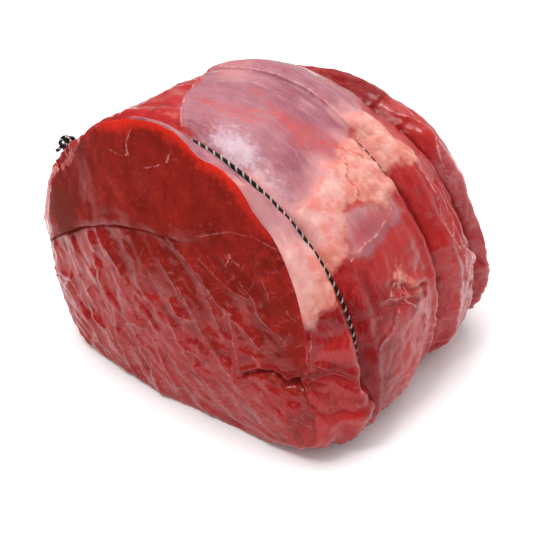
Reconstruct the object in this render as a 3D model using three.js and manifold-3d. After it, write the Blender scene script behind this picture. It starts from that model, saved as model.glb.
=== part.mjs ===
// A raw beef roasting joint, rolled and tied with butcher's twine.
//
// Millimetres, +Z up. The roll lies along Y, with its cut face towards -Y and its rounded end towards +Y.
// The origin is on the board, under the middle of the joint.
//
// The meat is one solid. A box with a square grid on each side is pressed into the form of the joint: its
// -Y side becomes the cut face, its four long sides the wall of the roll, and its +Y side the rounded end.
// Each ring of grid lines round the box becomes a cross-section of the roll. Three of the rings are beds
// for the loops of twine, and between them the meat swells out as lobes.
import * as THREE from "three";
import { mergeVertices } from "three/addons/utils/BufferGeometryUtils.js";
import Module from "manifold-3d";

// ---------------------------------------------------------------- driving dimensions

// Cross-sections of the roll, without the swell of the lobes: the rim of the cut face, the three loops of
// twine, and the far end.
//   middle       place of the axis along X
//   left, right  reach from the axis towards -X and +X, at the waist
//   top          height of the crown
//   lean         sideways shift of the crown against the base, per millimetre of height
//   full         how square each quarter is, from the top right round to the bottom right (2 is an ellipse)
const RIM = { middle: -10.5, left: 68.5, right: 73, top: 127, lean: -0.09, full: [2.1, 1.85, 2.7, 2.4] };
const SECTIONS = [
  { y: -38, middle: -9.7, left: 69.5, right: 79.5, top: 116, lean: -0.06, full: [1.8, 1.8, 2.6, 3.2] },
  { y: 15, middle: -10.8, left: 55, right: 78, top: 118, lean: -0.04, full: [1.8, 1.8, 2.6, 3.2] },
  { y: 50, middle: -4.9, left: 64, right: 68.5, top: 101, lean: 0.04, full: [1.8, 1.8, 2.6, 3.0] },
  { y: 82, middle: 9, left: 48, right: 48, top: 92, lean: 0.03, full: [1.9, 1.9, 2.4, 2.6] },
];
const WAIST = 0.42; // height of the widest line of a section, as a share of its crown
const SINK = 7; // how far each section would reach under the board if the meat did not flatten there
const BOARD_BLEND = 4; // height over which the flattened base turns up into the sides

// The cut face: a plane that leans back, with a dome on it.
const FACE_Y = -59; // where the plane meets the board at X = 0
const FACE_LEAN = 0.07; // millimetres towards +Y for each millimetre up
const FACE_TURN = -0.045; // millimetres towards +Y for each millimetre to the right
const FACE_DOME = 10; // how far the middle of the face stands out of the plane
const FACE_FOOT = [{ x: -12, out: 2.6 }, { x: 30, out: -1.6 }]; // waves in the bottom edge of the face
const FOOT_SPREAD = 14; // how far a wave spreads along the edge

// The crease across the face: an arc that sags towards the left, with a lip of meat above it.
const CREASE = { z: 84, sag: 0.006, depth: 2.4, lip: 2, wide: 5, end: 28 };

// The pleats below the crease: long ridges that run down to the right.
const PLEATS = { slope: 56, pitch: 13, height: 0.7, waver: 0.9 };

// The fold at the toe of the face, from the face over to the board: its line in X and Z, and its size.
const FOLD = { line: [[49, 42], [60, 41], [66, 31], [69, 12]], depth: 2.4, wide: 3.5 };

// The loops of twine.
//   turn  how far a loop strays towards +Y at its right side
//   rake  how far it strays towards +Y at its top
const TIES = [
  { turn: 0.4, rake: -0.4 },
  { turn: 5, rake: -1.5 },
  { turn: 0, rake: -3 },
];
const TWINE_RADIUS = 1.05;
const TWINE_GAP = 0.35; // clearance between the twine and its bed in the meat
const BED_HALF_WIDTH = 1.4; // half the width of the flat bed that the twine lies in
const BED_UNDER = 3.4; // least height of a bed above the board, which leaves the twine room under the meat
const BED_BLEND = 16; // height over which a bed turns up from under the meat into the sides

// The lobes: how far the meat swells out between the loops, and how square the swell is.
const SLAB = { swell: 1.4, square: 3 };
const LOBES = [
  { swell: 9, square: 3 },
  { swell: 9.5, square: 3 },
];
// The rounded end: its swell, how blunt it is, and the share of it that the rings of the wall cover.
const REAR = { swell: 7.5, blunt: 2.6, wall: 0.8 };
const UNEVEN = 1.2; // size of the slow bumps all over the meat

// Lumps and hollows in the wall: the angle of each from +X towards +Z and its place along the roll, how far
// it spreads each way in degrees and in millimetres, and how far it stands out.
const LUMPS = [
  { angle: -27, y: -60, wide: 12, long: 22, out: 13 }, // the toe of the face, where the flap ends
  { angle: 74, y: -57, wide: 7, long: 8, out: -4.5 }, // hollows in the rim of the face
  { angle: 48, y: -57, wide: 6, long: 8, out: -2.5 },
  { angle: -10, y: -57, wide: 5, long: 8, out: -2.5 },
  { angle: 112, y: -50, wide: 18, long: 9, out: -2 },
  { angle: 182, y: -52, wide: 26, long: 15, out: 2.2 },
  { angle: -146, y: -54, wide: 14, long: 12, out: 1.4 },
  { angle: 146, y: -56, wide: 10, long: 11, out: -4.5 }, // the nick in the rim that the first knot shows in
  { angle: 150, y: -36, wide: 24, long: 12, out: 6 }, // the shoulder under the first knot
  { angle: 20, y: -48, wide: 7, long: 6, out: 2.2 }, // the knob of fat before the first loop
  { angle: 3, y: -47, wide: 9, long: 7, out: 1.5 },
  { angle: -26, y: -10, wide: 9, long: 12, out: 2.4 }, // the foot of the second lobe
  { angle: 46, y: 3, wide: 10, long: 9, out: 1.6 }, // pads of fat on the crown
  { angle: 44, y: 28, wide: 10, long: 9, out: 1.4 },
  { angle: 12, y: -6, wide: 5, long: 7, out: -1.8 }, // torn hollow in the second lobe, and the fold beside it
  { angle: 5, y: -3, wide: 5, long: 8, out: 1.5 },
  { angle: 105, y: 30, wide: 32, long: 13, out: 2 }, // the crown of the third lobe
  { angle: 22, y: 28, wide: 7, long: 9, out: -1.6 },
  { angle: -11, y: 63, wide: 9, long: 12, out: 3 }, // the rounded end, at the right
  { angle: 18, y: 64, wide: 10, long: 12, out: -5.5 },
  { angle: 60, y: 66, wide: 12, long: 12, out: 1.6 },
];

// Grid: squares across each side of the box, and rings along each stretch of the wall.
const ACROSS = 26;
const SLAB_RINGS = [0, 0.08, 0.24, 0.48, 0.76];
const LOBE_RINGS = [9, 7];
const REAR_RINGS = 5;

const TWINE_SIDES = 5;
const TWINE_STEPS = 72;

// The knots: two small loops of twine through each other, with two cut ends.
const KNOT_ANGLE = 147; // where a knot sits on its loop
const KNOT_OUT = 3.6; // how far its middle stands out from the loop
const KNOT_FORWARD = 1.4; // how far its middle stands towards the face
const KNOT_LOOP = 2; // radius of its small loops
const KNOT_ENDS = 8; // length of the cut ends
const KNOT_HOLLOW = { wide: 7.5, long: 9, depth: 5 }; // the dent that a knot presses into the lobes beside it

// ---------------------------------------------------------------- cross-sections

const clamp01 = (t) => Math.min(1, Math.max(0, t));
const mix = (a, b, t) => a + (b - a) * t;
const ease = (t) => clamp01(t) ** 2 * (3 - 2 * clamp01(t));

function between(a, b, t) {
  const s = {};
  for (const key of ["middle", "left", "right", "top", "lean"]) s[key] = mix(a[key], b[key], t);
  s.full = a.full.map((f, i) => mix(f, b.full[i], t));
  return s;
}

// Slow unevenness, from a few waves that don't repeat together.
function uneven(angle, y) {
  const slow = Math.sin(2 * angle + y / 31 + 0.6);
  const mid = Math.sin(3 * angle - y / 23 + 2.1);
  const quick = Math.sin(5 * angle + y / 17 + 4.0) * Math.cos(y / 29 + 1.3);
  return UNEVEN * (0.5 * slow + 0.35 * mid + 0.3 * quick);
}

// A round bump at an angle in degrees and a place along the roll.
function bump(angle, y, { angle: atAngle, y: atY, wide, long, out }) {
  const turn = ((((angle * 180) / Math.PI - atAngle + 540) % 360) - 180) / wide;
  return out * Math.exp(-(turn ** 2) - ((y - atY) / long) ** 2);
}

const lumps = (angle, y) => LUMPS.reduce((sum, lump) => sum + bump(angle, y, lump), 0);

// The lumps between the beds, where the knots press into the meat too.
function grown(angle, y) {
  const { wide, long, depth } = KNOT_HOLLOW;
  const hollows = TIES.map((_, k) => ({ angle: KNOT_ANGLE, y: SECTIONS[k].y, wide, long, out: -depth }));
  return lumps(angle, y) + hollows.reduce((sum, hollow) => sum + bump(angle, y, hollow), 0);
}

// A section's outline at an angle from +X towards +Z, swollen by some millimetres.
function outline(s, angle, swell, size = 1) {
  const c = Math.cos(angle);
  const v = Math.sin(angle);
  const waist = s.top * WAIST;
  const reachX = c > 0 ? s.right : s.left;
  const reachZ = v > 0 ? s.top - waist : waist + SINK;
  const n = v > 0 ? s.full[c > 0 ? 0 : 1] : s.full[c > 0 ? 3 : 2];
  const reach = (Math.abs(c / reachX) ** n + Math.abs(v / reachZ) ** n) ** (-1 / n);
  const radius = (reach + swell) * size;
  return { x: s.middle + radius * c + s.lean * radius * v, z: waist + radius * v };
}

// Heights near a floor are pressed flat on to it.
function pressed(z, floor = 0, blend = BOARD_BLEND) {
  const d = z - floor;
  if (d > blend) return z;
  return floor + Math.max(0, d + blend) ** 2 / (4 * blend);
}

// Place along the roll of a loop's plane at a point of its section.
const loopY = (k, x, z) => SECTIONS[k].y + (TIES[k].turn * x) / 70 + (TIES[k].rake * (z - 60)) / 60;

// ---------------------------------------------------------------- the meat

// Place along the roll of the undomed face.
function facePlane(x, z) {
  const wave = FACE_FOOT.reduce((sum, w) => sum + w.out * Math.exp(-(((x - w.x) / FOOT_SPREAD) ** 2)), 0);
  return FACE_Y + FACE_LEAN * z + FACE_TURN * x - wave * ease(1 - z / 30);
}

function rimPoint(angle) {
  const p = outline(RIM, angle, lumps(angle, FACE_Y));
  const z = pressed(p.z);
  return new THREE.Vector3(p.x, facePlane(p.x, z), z);
}

// A point of a loop's bed, which is lifted off the board where it passes under the meat.
function bedPoint(k, angle, offset = 0) {
  const p = outline(SECTIONS[k], angle, lumps(angle, SECTIONS[k].y));
  const z = pressed(p.z, BED_UNDER, BED_BLEND);
  return new THREE.Vector3(p.x, loopY(k, p.x, z) + offset, z);
}

const bulge = (t, square) => (1 - Math.abs(2 * t - 1) ** square) ** 0.75;

// The wall between the rim and the first loop.
function slabPoint(t, angle) {
  const s = between(RIM, SECTIONS[0], ease(t));
  const y = mix(rimPoint(angle).y, bedPoint(0, angle, -BED_HALF_WIDTH).y, t);
  const p = outline(s, angle, SLAB.swell * bulge(t, SLAB.square) + grown(angle, mix(FACE_Y, y, ease(3 * t))));
  return new THREE.Vector3(p.x, y, pressed(p.z));
}

function lobePoint(k, t, angle) {
  const s = between(SECTIONS[k], SECTIONS[k + 1], (t + ease(t)) / 2);
  const from = bedPoint(k, angle, BED_HALF_WIDTH);
  const to = bedPoint(k + 1, angle, -BED_HALF_WIDTH);
  const y = mix(from.y, to.y, t);
  const swell = LOBES[k].swell * bulge(t, LOBES[k].square);
  const p = outline(s, angle, swell + uneven(angle, y) + grown(angle, y));
  return new THREE.Vector3(p.x, y, pressed(p.z));
}

// The rounded end: t is 0 at the last loop and 1 at the tip.
const rearSize = (t) => Math.sqrt(1 - t ** REAR.blunt);
function rearPoint(t, angle) {
  const last = SECTIONS[SECTIONS.length - 1];
  const s = between(SECTIONS[2], last, t);
  const from = bedPoint(2, angle, BED_HALF_WIDTH);
  const y = mix(from.y, last.y, t);
  const swell = REAR.swell * bulge(Math.min(0.5, t * 1.3), 3);
  const p = outline(s, angle, swell + uneven(angle, y) + grown(angle, y), rearSize(t));
  return new THREE.Vector3(p.x, y, pressed(p.z));
}

// How far the crease, the pleats and the fold raise the face at a point of it.
function faceRelief(x, z, share) {
  const crease = CREASE.z - CREASE.sag * Math.min(0, x) ** 2 + 0.35 * Math.max(0, x);
  const above = (z - crease) / CREASE.wide;
  const fade = ease((CREASE.end - x) / 30);
  const lip = CREASE.lip * Math.exp(-((above - 1.1) ** 2));
  const cut = CREASE.depth * Math.exp(-((1.8 * above + 0.3) ** 2));

  const slope = (PLEATS.slope * Math.PI) / 180;
  const across = x * Math.sin(slope) + z * Math.cos(slope);
  const waver = PLEATS.waver * Math.sin(z / 11 + x / 23) + 0.5 * PLEATS.waver * Math.sin(x / 8);
  const pleat = PLEATS.height * Math.sin((2 * Math.PI * across) / PLEATS.pitch + waver) * ease(-above);

  let near = Infinity;
  for (let i = 1; i < FOLD.line.length; i++) {
    const [ax, az] = FOLD.line[i - 1];
    const [dx, dz] = [FOLD.line[i][0] - ax, FOLD.line[i][1] - az];
    const t = clamp01(((x - ax) * dx + (z - az) * dz) / (dx * dx + dz * dz));
    near = Math.min(near, Math.hypot(x - ax - dx * t, z - az - dz * t));
  }
  const fold = FOLD.depth * Math.exp(-((near / FOLD.wide) ** 2));
  return (lip - cut) * fade + pleat * ease((1 - share) * 6) - fold;
}

function facePoint(share, angle) {
  const rim = rimPoint(angle);
  const x = mix(RIM.middle, rim.x, share);
  const z = mix(RIM.top * WAIST, rim.z, share);
  const dome = FACE_DOME * (1 - share ** 2.2);
  return new THREE.Vector3(x, facePlane(x, z) - dome - faceRelief(x, z, share), z);
}

// The rings of the wall, from the rim to the rounded end, as functions of the angle.
function wallRings() {
  const inner = (count) => Array.from({ length: count }, (_, i) => (i + 1) / (count + 1));
  const bed = (k) => [-1, 0, 1].map((side) => (a) => bedPoint(k, a, side * BED_HALF_WIDTH));
  const lobe = (k) => inner(LOBE_RINGS[k]).map((t) => (a) => lobePoint(k, t, a));
  const rear = Array.from({ length: REAR_RINGS }, (_, i) => (REAR.wall * (i + 1)) / REAR_RINGS);
  const slab = SLAB_RINGS.map((t) => (a) => slabPoint(t, a));
  const end = rear.map((t) => (a) => rearPoint(t, a));
  return [...slab, ...bed(0), ...lobe(0), ...bed(1), ...lobe(1), ...bed(2), ...end];
}

function meatGeometry() {
  const rings = wallRings();
  const box = new THREE.BoxGeometry(2, 2, 2, ACROSS, rings.length - 1, ACROSS);
  box.deleteAttribute("normal");
  box.deleteAttribute("uv");
  const place = box.getAttribute("position");
  const p = new THREE.Vector3();
  for (let i = 0; i < place.count; i++) {
    p.fromBufferAttribute(place, i);
    // A point of the square is carried to the matching place of a round.
    const u = p.x * Math.sqrt(1 - (p.z * p.z) / 2);
    const v = p.z * Math.sqrt(1 - (p.x * p.x) / 2);
    const share = Math.min(1, Math.hypot(u, v));
    const angle = Math.atan2(v, u);
    const onWall = Math.max(Math.abs(p.x), Math.abs(p.z)) > 1 - 1e-6;
    const ring = rings[Math.round(((p.y + 1) / 2) * (rings.length - 1))];
    if (onWall) p.copy(ring(angle));
    else if (p.y < 0) p.copy(facePoint(share, angle));
    else p.copy(rearPoint((1 - (share * rearSize(REAR.wall)) ** 2) ** (1 / REAR.blunt), angle));
    place.setXYZ(i, p.x, p.y, p.z);
  }
  return mergeVertices(box, 1e-4);
}

// ---------------------------------------------------------------- the twine

// Where the twine of a loop runs at an angle: its place, and its directions along the loop, out of the meat
// and towards the face.
function twineFrame(k, angle) {
  const along = bedPoint(k, angle + 1e-3).sub(bedPoint(k, angle - 1e-3)).normalize();
  const out = new THREE.Vector3(0, 1, 0).cross(along).normalize();
  const side = new THREE.Vector3().crossVectors(out, along);
  const at = bedPoint(k, angle).addScaledVector(out, TWINE_RADIUS + TWINE_GAP);
  return { at, along, out, side };
}

// A loop of twine: a torus laid in its bed.
function loopGeometry(k) {
  const torus = new THREE.TorusGeometry(10, 1, TWINE_SIDES, TWINE_STEPS);
  const place = torus.getAttribute("position");
  const p = new THREE.Vector3();
  for (let i = 0; i < place.count; i++) {
    p.fromBufferAttribute(place, i);
    const { at, out, side } = twineFrame(k, Math.atan2(p.y, p.x));
    at.addScaledVector(out, TWINE_RADIUS * (Math.hypot(p.x, p.y) - 10));
    at.addScaledVector(side, TWINE_RADIUS * p.z);
    place.setXYZ(i, at.x, at.y, at.z);
  }
  return torus;
}

// The pieces of a knot, in place on their loop.
function knotGeometries(k) {
  const { at, along, out, side } = twineFrame(k, (KNOT_ANGLE * Math.PI) / 180);
  const frame = new THREE.Matrix4().makeBasis(out, along, side);
  frame.setPosition(at.addScaledVector(out, KNOT_OUT).addScaledVector(side, KNOT_FORWARD));

  const loop = (turnX, turnY, shift) => {
    const torus = new THREE.TorusGeometry(KNOT_LOOP, TWINE_RADIUS, TWINE_SIDES, 9);
    return torus.rotateX(turnX).rotateY(turnY).translate(...shift).applyMatrix4(frame);
  };
  const end = (way) => {
    const half = KNOT_ENDS / 2;
    const path = new THREE.CatmullRomCurve3([
      new THREE.Vector3(-0.5, 0, 0.3 * way),
      new THREE.Vector3(0.8, way * half, 0.6 * way),
      new THREE.Vector3(-0.6, way * KNOT_ENDS, 0.2 * way),
    ]);
    const section = new THREE.Shape();
    for (let i = 0; i < TWINE_SIDES; i++) {
      const a = (2 * Math.PI * i) / TWINE_SIDES;
      const [x, y] = [TWINE_RADIUS * Math.cos(a), TWINE_RADIUS * Math.sin(a)];
      if (i) section.lineTo(x, y);
      else section.moveTo(x, y);
    }
    const settings = { steps: 3, curveSegments: 1, bevelEnabled: false, extrudePath: path };
    return new THREE.ExtrudeGeometry(section, settings).applyMatrix4(frame);
  };
  const quarter = Math.PI / 2;
  return [loop(quarter, 0.35, [-0.3, 0.5, 0]), loop(0.5, quarter, [0.2, -0.5, 0]), end(1), end(-1)];
}

// One length of twine: its loop and its knot, joined.
function tieGeometry(k) {
  const solids = [loopGeometry(k), ...knotGeometries(k)].map((geometry) => {
    geometry.deleteAttribute("normal");
    geometry.deleteAttribute("uv");
    const welded = mergeVertices(geometry, 1e-4);
    const vertProperties = Float32Array.from(welded.getAttribute("position").array);
    const triVerts = Uint32Array.from(welded.index.array);
    return new wasm.Manifold(new wasm.Mesh({ numProp: 3, vertProperties, triVerts }));
  });
  const { vertProperties, triVerts } = solids.reduce((whole, solid) => whole.add(solid)).getMesh();
  const geometry = new THREE.BufferGeometry();
  geometry.setAttribute("position", new THREE.BufferAttribute(vertProperties, 3));
  geometry.setIndex(new THREE.BufferAttribute(triVerts, 1));
  return geometry;
}

// ---------------------------------------------------------------- assembly

const wasm = await Module();
wasm.setup();

const lean = new THREE.MeshStandardMaterial({ name: "raw_beef", color: "#a3262b", roughness: 0.35 });
const twine = new THREE.MeshStandardMaterial({ name: "butchers_twine", color: "#2b2a2c", roughness: 0.8 });

const joint = new THREE.Group();

function add(name, geometry, material) {
  const mesh = new THREE.Mesh(geometry, material);
  mesh.name = name;
  joint.add(mesh);
}

add("meat", meatGeometry(), lean);
TIES.forEach((_, k) => add(`tie_${k + 1}`, tieGeometry(k), twine));

// The origin goes under the middle of the joint's box.
const middle = new THREE.Box3().setFromObject(joint).getCenter(new THREE.Vector3());
joint.children.forEach((mesh) => mesh.geometry.translate(-middle.x, -middle.y, 0));

export default joint;
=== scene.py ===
import itertools
import math

import bmesh
import bpy
import numpy as np
from bpy.props import FloatProperty, FloatVectorProperty, PointerProperty
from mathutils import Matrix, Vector


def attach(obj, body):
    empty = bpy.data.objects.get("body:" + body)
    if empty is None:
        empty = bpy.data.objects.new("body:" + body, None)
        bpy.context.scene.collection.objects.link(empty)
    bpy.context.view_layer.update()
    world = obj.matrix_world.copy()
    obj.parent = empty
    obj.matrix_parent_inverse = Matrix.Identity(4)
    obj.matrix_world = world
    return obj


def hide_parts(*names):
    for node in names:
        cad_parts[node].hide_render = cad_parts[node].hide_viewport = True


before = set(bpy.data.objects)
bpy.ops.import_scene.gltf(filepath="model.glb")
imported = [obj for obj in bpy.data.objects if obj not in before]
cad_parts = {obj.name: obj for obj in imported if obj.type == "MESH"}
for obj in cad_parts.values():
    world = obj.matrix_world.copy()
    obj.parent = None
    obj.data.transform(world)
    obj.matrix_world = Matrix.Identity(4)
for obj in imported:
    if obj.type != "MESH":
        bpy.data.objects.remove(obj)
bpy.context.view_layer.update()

bl_info = {
    "name": "Tied Beef Joint",
    "version": (1, 0, 0),
    "blender": (4, 5, 0),
    "location": "3D View > Sidebar > Beef Joint",
    "description": "Dresses a raw, tied roasting joint: its meat, its twine and a plain stage",
    "category": "Object",
}

MM = 0.001

# ---------------------------------------------------------------- places on the joint, in millimetres

# A place on the wall of the roll is an angle in degrees from +X towards +Z, and a Y.
# A place on the cut face is an X and a Z.
AXIS_X, AXIS_Z = -6.64, 50.0
WALL_RADIUS = 66.0  # turns an angle on the wall into a length along it
SEAM_ANGLE = -90.0  # where the angles start again, under the joint
DEGREE = math.radians(1) * WALL_RADIUS

# Fat on the wall, as outlines of (angle, Y): the strip beside the rim, the pads and the small bits.
FAT = [
    [(62, -45), (46, -45), (31, -45), (24, -46), (20, -50), (17, -54), (16, -58), (13, -62), (15, -66),
     (24, -67),
     (62, -68)],
    [(55, -4), (55, 6), (47, 7), (37, 7), (33, 5), (32, -7), (35, -12), (36, -17), (39, -19), (39, -25),
     (33, -31),
     (26, -37), (24, -46), (46, -46), (47, -36), (50, -27), (53, -20), (52, -12)],
    [(62, 9), (60, 20), (56, 23), (50, 21), (44, 22), (40, 26), (36, 24), (37, 19), (40, 16), (39, 12),
     (38, 8), (47, 7)],
    [(15, -14), (14, -20), (11, -17), (12, -13)],
    [(11, -13), (9, -8), (6, -5), (6, -10)],
    [(3, 34), (-2, 40), (-6, 45), (-4, 38)],
    [(150, -56), (158, -52), (162, -54), (156, -59)],
    [(176, -34), (166, -14), (154, -4), (147, 2), (150, -16), (164, -32)],
    [(194, 18), (208, 24), (218, 36), (206, 38)],
    [(132, 56), (112, 56), (98, 58), (104, 68), (122, 66)],
]
# Where the strip of fat is cool, under a mauve film.
COOL = [[(70, -72), (70, -42), (50, -43), (37, -46), (44, -68)]]
# Where the fat is warm, towards orange.
WARM = [
    [(27, -45), (19, -48), (14, -56), (14, -63), (21, -63), (26, -56)],
    [(58, -8), (47, 4), (32, 9), (31, -4), (38, -22), (50, -14)],
    [(31, -37), (24, -38), (23, -46), (30, -44)],
    [(57, 9), (54, 20), (35, 27), (35, 14), (46, 9)],
    [(16, -21), (5, -12), (4, -4), (15, -12)],
    [(8, 27), (0, 38), (-12, 54), (-14, 44)],
    [(148, -56), (158, -50), (164, -54), (156, -61)],
]
# Silverskin on the wall: the crowns of the second and third lobes, the top of the strip and thinner films.
SKIN = [
    [(122, 12), (112, -4), (106, -15), (105, -26), (101, -36), (96, -43), (88, -46), (40, -45), (38, -39),
     (42, -30), (46, -22), (50, -14), (52, -4), (56, 6), (60, 12), (90, 14)],
    [(128, 12), (112, 8), (98, 4), (66, 5), (58, 8), (56, 16), (70, 29), (80, 32), (90, 29), (104, 26),
     (122, 30)],
    [(110, -58), (97, -52), (90, -46), (60, -45), (56, -68), (96, -68)],
    [(38, -26), (35, -12), (32, 0), (28, 2), (26, -6), (25, -17), (24, -28), (27, -37), (35, -30)],
    [(22, -63), (19, -59), (15, -60), (12, -61.5), (14, -65)],
    [(196, -16), (180, 4), (168, 8), (166, -12), (178, -26)],
    [(166, 16), (150, 34), (136, 28), (140, 14)],
]
# Where the silverskin is warm and pale.
BLUSH = [
    [(124, 4), (112, 12), (100, 9), (94, -4), (94, -12), (100, -12), (108, -4)],
]
# Where a highlight is painted on the silverskin, nearly white, along the edge of the second lobe.
SILVER_HIGHLIGHT = [
    [(84, -43), (78, -44.5), (72, -44), (69, -40), (72, -38), (80, -38)],
    [(63, -45), (57, -45), (52, -44), (53, -41), (60, -41), (64, -42)],
]
# Where the silverskin is so thin that the lean shows red.
BARE = [
    [(84, -15), (74, -11), (65, -8), (60, -8), (53, -4), (53, -14), (57, -20), (63, -21), (70, -20),
     (76, -18)],
    [(97, -30), (84, -30), (70, -22), (84, -24)],
    [(88, 20), (74, 26), (64, 22), (76, 18)],
    [(34, -24), (34, -2), (28, 0), (26, -20), (28, -34)],
]
# The cut face where the air has browned it, as (X, Z).
BROWN = [[(-76, 60), (-75, 74), (-64, 78), (-55, 72), (-55, 63), (-66, 58)]]
# How milky the film on the lean is: -1 where the meat is bare, dark and wet, and 1 where the film is thick.
# On the face as (X, Z, milkiness), and on the wall as (angle, Y, milkiness).
FACE_FILM = [
    (-72, 50, 0.5), (-62, 32, 0.6), (-45, 14, 0.5), (-48, 58, 0.3), (-25, 66, -0.5), (-30, 42, 0.3),
    (-12, 72, -0.8),
    (-8, 44, 0.1), (-12, 20, 0.4), (8, 8, 0.5), (12, 62, -0.4), (14, 38, 0.1), (32, 16, 0.4),
    (26, 76, -0.9),
    (38, 62, -0.3), (36, 44, 0.0), (54, 72, -0.9), (62, 52, -0.9), (52, 24, 0.2), (68, 22, -0.1),
    (50, 8, 0.5),
    (-40, 92, -0.9), (0, 100, -1.0), (30, 94, -1.0), (-66, 66, -0.8), (-72, 74, -1.0), (-68, 84, -1.0),
]
# On the wall, low values also paint shade on the low part of the second lobe, and the highest values a pale
# sheen along the edges of the far lobes.
WALL_FILM = [
    (106, -36, 0.1), (126, -35, -0.2), (118, -30, 0.0), (24, -10, 0.3), (15, -7, 0.4), (18, -42, -0.4),
    (8, -41, -1.0),
    (-2, -39, -0.9), (-10, -33, -0.7), (-14, -39, -0.8), (-10, -14, 0.4), (-3, -9, 0.0), (4, -10, -0.4),
    (8, -20, -0.2), (35, 13, 0.5),
    (23, 16, 0.5), (10, 16, 0.4), (-8, 16, 0.0), (-15, 20, 0.7), (-24, 17, 0.0), (-3, 21, 0.9),
    (54, 47, -0.2),
    (77, 44, -1.0), (66, 47, -0.9), (88, 40, -0.8), (45, 48, 0.0), (28, 52, 1.4), (12, 54, 1.2),
    (0, 48, 0.8), (14, -58, -0.7), (8, -57, -0.6), (3, -54, 0.4),
    (-3, -56, -0.9), (-9, -61, 0.0), (-14, -55, -0.2), (-20, -54, -0.2), (150, -55, 0.1), (180, -40, 0.1),
    (160, -20, 0.3), (180, 10, 0.2), (150, 30, 0.5), (200, 30, 0.0), (230, -20, -0.2), (-60, 0, -0.1),
    (110, 60, 0.5),
]
# Thin pale threads of membrane on the wall, as lines of (angle, Y).
WALL_THREADS = [
    [(31, -2), (29, -10), (27, -19), (27, -27), (25, -35)],
    [(5, 0), (1, -3), (-8, -4), (-17, -7)],
    [(15, -14), (13, -18), (10, -27)],
    [(14, -17), (8, -20), (9, -25)],
    [(11, -14), (6, -17), (4, -14)],
    [(5, -23), (1, -27), (-2, -35)],
    [(38, 21), (29, 23), (22, 24), (16, 20), (11, 22)],
    [(17, 28), (11, 23), (4, 27), (-4, 28)],
    [(60, 43), (53, 44), (48, 46), (42, 49), (35, 46), (25, 44)],
    [(120, 8), (108, 5), (98, 5), (90, 6), (79, 8), (71, 9), (64, 9), (58, 9)],
    [(120, 9), (109, -10), (107, -18), (104, -29), (100, -38), (96, -44)],
    [(9, -63), (7, -63.5), (5, -64)],
]
# Cracks in the wall, as lines of (angle, Y): a dent, with a brow on the side that its line keeps at its left.
CRACKS = [
    [(4, -64), (-1, -64.5), (-6, -64), (-10, -63)],
    [(-7, -62), (-6, -58), (-7, -54), (-9, -52)],
    [(-14, -66), (-17, -62), (-17, -56), (-15, -50), (-15, -44)],
    [(-7, -52), (-5, -57), (-4, -61), (-1, -65)],
    [(4, -3), (6, -15), (7, -22), (9, -28)],
    [(6, -2), (7, -7), (8, -13), (10, -15)],
    [(-17, -8), (-18, -13), (-21, -17)],
    [(-20, 26), (-23, 21), (-27, 17)],
    [(27, 28), (22, 29), (16, 29), (8, 29), (4, 34), (-8, 48)],
]
# Thin red lines in the fat and the silverskin.
VEINS = [
    [(54, -7), (49, -11), (46, -16), (42, -15), (37, -17)],
    [(39, -17), (37, -22), (38, -26)],
    [(82, -22), (73, -16), (66, -13), (60, -14), (54, -8)],
    [(88, -10), (78, -14), (70, -17), (62, -20)],
    [(96, -30), (86, -31), (76, -27)],
    [(52, -5), (46, 2), (38, 6)],
]
# The crests of the pleats in the cut face, as lines of (X, Z). They are raised in the relief, and a highlight
# is painted along each.
CRESTS = [
    [(-22, 76), (-17, 71), (-10, 66)],
    [(-4, 72), (3, 66), (10, 58), (15, 52), (23, 44)],
    [(-42, 53), (-38, 45), (-33, 39), (-25, 36), (-15, 36)],
    [(-50, 66), (-44, 60)],
    [(-46, 70), (-40, 67), (-32, 62), (-26, 57)],
    [(-30, 35), (-29, 21), (-25, 7), (-16, -1)],
    [(-18, 28), (-13, 18), (-9, 9), (-6, 0)],
    [(-63, 30), (-55, 24), (-47, 20), (-42, 10), (-28, 2)],
    [(-71, 34), (-60, 36), (-53, 30), (-45, 26), (-36, 23), (-30, 13)],
    [(-47, 37), (-41, 30), (-33, 21)],
    [(2, 56), (6, 51), (14, 52)],
    [(-15, 44), (-6, 39)],
    [(3, 45), (7, 38), (20, 36)],
    [(-7, 31), (-5, 24), (3, 12)],
    [(-3, 83), (7, 79), (15, 75)],
    [(8, 78), (16, 75), (21, 70), (25, 65), (32, 63)],
    [(16, 81), (24, 77), (31, 74), (40, 72)],
    [(6, 65), (13, 57), (19, 48), (29, 39), (36, 31)],
    [(21, 65), (25, 58), (29, 50)],
    [(30, 67), (32, 61), (40, 57), (46, 52)],
    [(32, 61), (34, 51), (37, 38)],
    [(36, 77), (42, 72), (45, 65), (55, 60)],
    [(10, 34), (16, 27), (23, 22)],
    [(45, 82), (48, 76)],
    [(44, 46), (49, 42), (52, 41)],
    [(12, 90), (20, 94), (27, 97), (38, 98), (51, 96)],
]
# Marbling in the cut face, as lines of (X, Z).
FACE_THREADS = [
    [(-38, 107), (-33, 107), (-29, 109)],
    [(-30, 118), (-31, 113), (-28, 109)],
    [(-18, 108), (-14, 110), (-9, 113)],
    [(-8, 114), (-7, 118)],
    [(25, 90), (29, 87), (32, 85)],
    [(29, 87), (28, 84)],
]
# How wide the painted glow along the edge of the face is, as of light shining through its thin rim, at
# angles round the face's middle from +X towards +Z.
FRINGE = [
    (-30, 0), (0, 0), (12, 1), (24, 2.5), (36, 3.5), (46, 5.5), (54, 4.5), (64, 5), (76, 3.5), (86, 4),
    (98, 5),
    (112, 5.5), (124, 5), (134, 3), (150, 1), (180, 0),
]

# The crease across the cut face: an arc that sags towards the left, with a lip of meat above it.
CREASE_Z, CREASE_SAG, CREASE_RISE, CREASE_X = 84.6, 0.006, 0.35, 3.36
CREASE_END = 16.0  # where it has faded out, along X
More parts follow.
